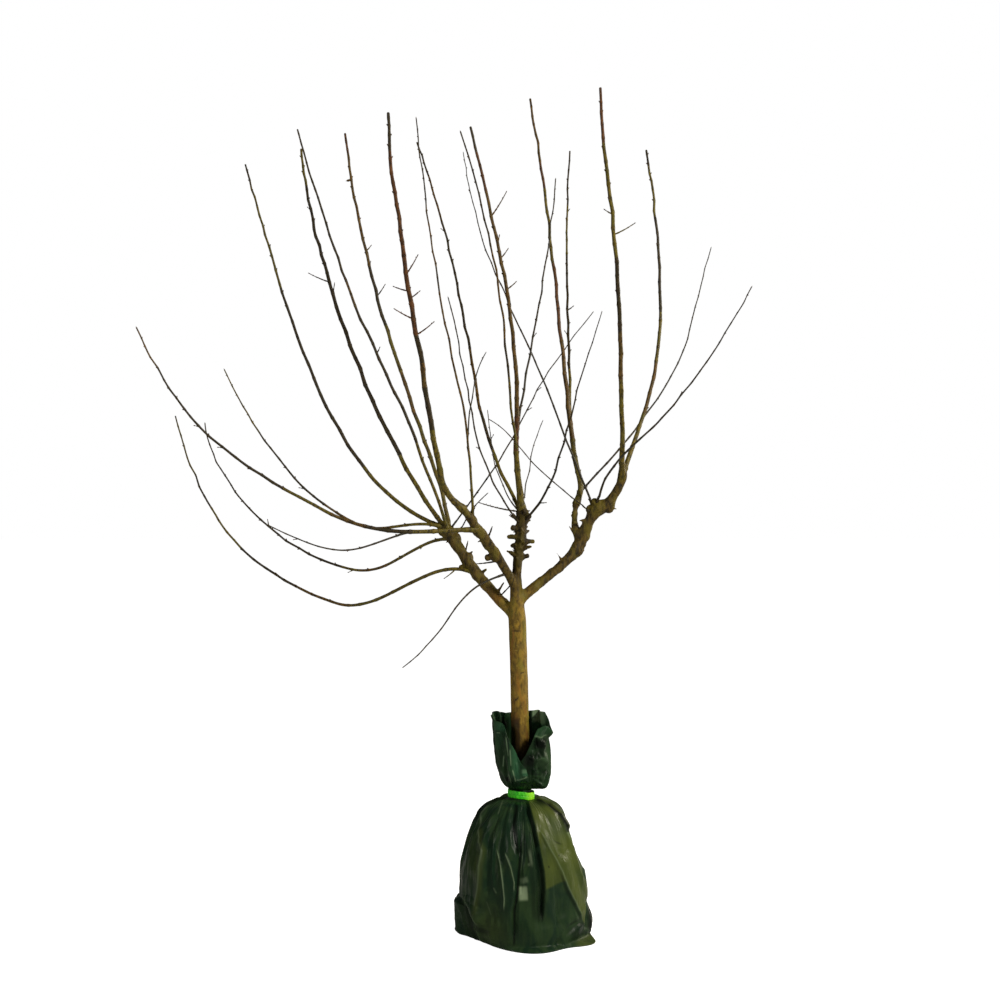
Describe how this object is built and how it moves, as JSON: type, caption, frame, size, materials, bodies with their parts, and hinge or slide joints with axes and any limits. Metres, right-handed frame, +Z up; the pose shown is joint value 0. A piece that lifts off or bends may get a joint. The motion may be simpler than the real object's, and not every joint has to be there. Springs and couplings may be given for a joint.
{
  "type": "bare young tree on a bagged root ball",
  "caption": "Bare, vase-pruned young tree with a straight trunk and long upright shoots, standing on a root ball wrapped in a tied dark green plastic bag.",
  "frame": {"origin": "middle of the flat underside of the bagged root ball", "axes": "+Z up the trunk, -Y towards the front, where the bag's collar opens, +X to the right of the front"},
  "size_m": [1.4594, 0.8844, 2.1585],
  "materials": {
    "bag_film": "dark green thin plastic film, creased and glossy",
    "tape": "bright green plastic tape",
    "bark_trunk": "smooth olive brown bark with pale specks",
    "bark_boughs": "dark brown bark with a green tint, knobbly",
    "twigs": "thin dark brown shoots, bare of leaves"
  },
  "bodies": {
    "root": {"root_ball": "bag_film", "bag_collar": "bag_film", "tie_tape": "tape", "trunk": "bark_trunk", "leader": "bark_boughs", "bough_left_low": "bark_boughs", "bough_left_high": "bark_boughs", "bough_right": "bark_boughs", "bough_right_upper": "bark_boughs", "bough_right_inner": "bark_boughs", "shoot_left_outer": "twigs", "shoot_left_back": "twigs", "shoot_left_middle": "twigs", "shoot_left_inner": "twigs", "shoot_left_short": "twigs", "shoot_crossing_right": "twigs", "shoot_arc_middle": "twigs", "shoot_arc_back": "twigs", "shoot_arc_low": "twigs", "shoot_front_tall": "twigs", "shoot_front_second": "twigs", "shoot_arc_front": "twigs", "shoot_hanging": "twigs", "shoot_centre": "twigs", "shoot_centre_back": "twigs", "shoot_centre_front": "twigs", "shoot_centre_right": "twigs", "shoot_centre_short": "twigs", "shoot_centre_thin": "twigs", "shoot_right_tall": "twigs", "shoot_right_inner": "twigs", "shoot_right_wide": "twigs", "shoot_crossing_left": "twigs", "shoot_crossing_front": "twigs"}
  },
  "joints": []
}
